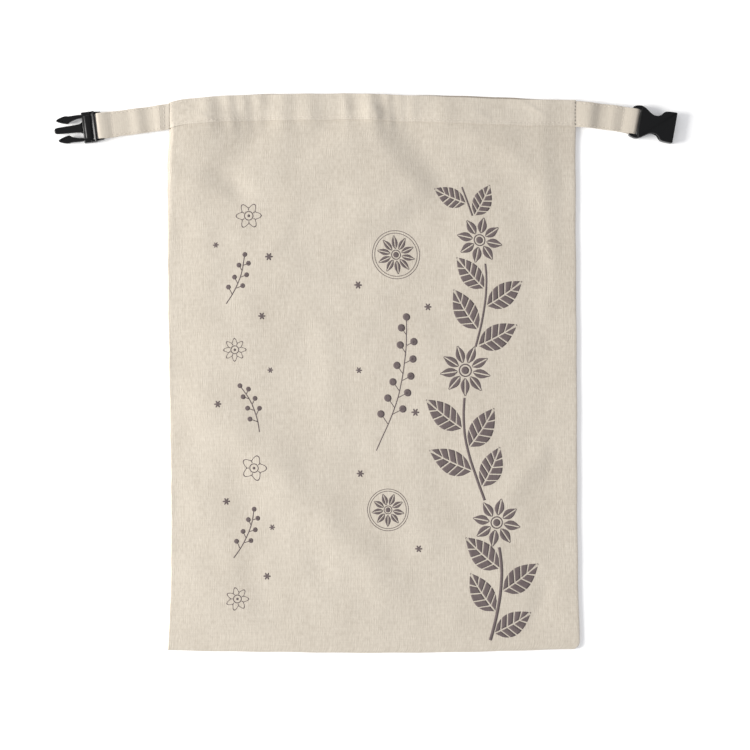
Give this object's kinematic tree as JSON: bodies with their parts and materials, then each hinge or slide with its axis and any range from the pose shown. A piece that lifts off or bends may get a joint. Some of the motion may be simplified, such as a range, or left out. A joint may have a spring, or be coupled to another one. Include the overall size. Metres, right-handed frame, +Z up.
{
  "type": "roll-top canvas bread bag",
  "caption": "Flat natural canvas bread bag with a hemmed roll-top mouth, side strap tabs and a black side-release buckle.",
  "frame": {"origin": "on the surface that the bag lies on, under the middle of the whole part's box", "axes": "+X across the bag towards the female buckle half, +Y towards the bag's mouth, +Z up from the surface"},
  "size_m": [0.4918, 0.442, 0.0074],
  "materials": {
    "canvas": "natural unbleached cotton canvas, plain weave, matt",
    "buckle_plastic": "black moulded acetal, satin"
  },
  "bodies": {
    "root": {"bag_body": "canvas", "strap_left": "canvas", "strap_right": "canvas", "buckle_male": "buckle_plastic", "buckle_female": "buckle_plastic"}
  },
  "joints": []
}
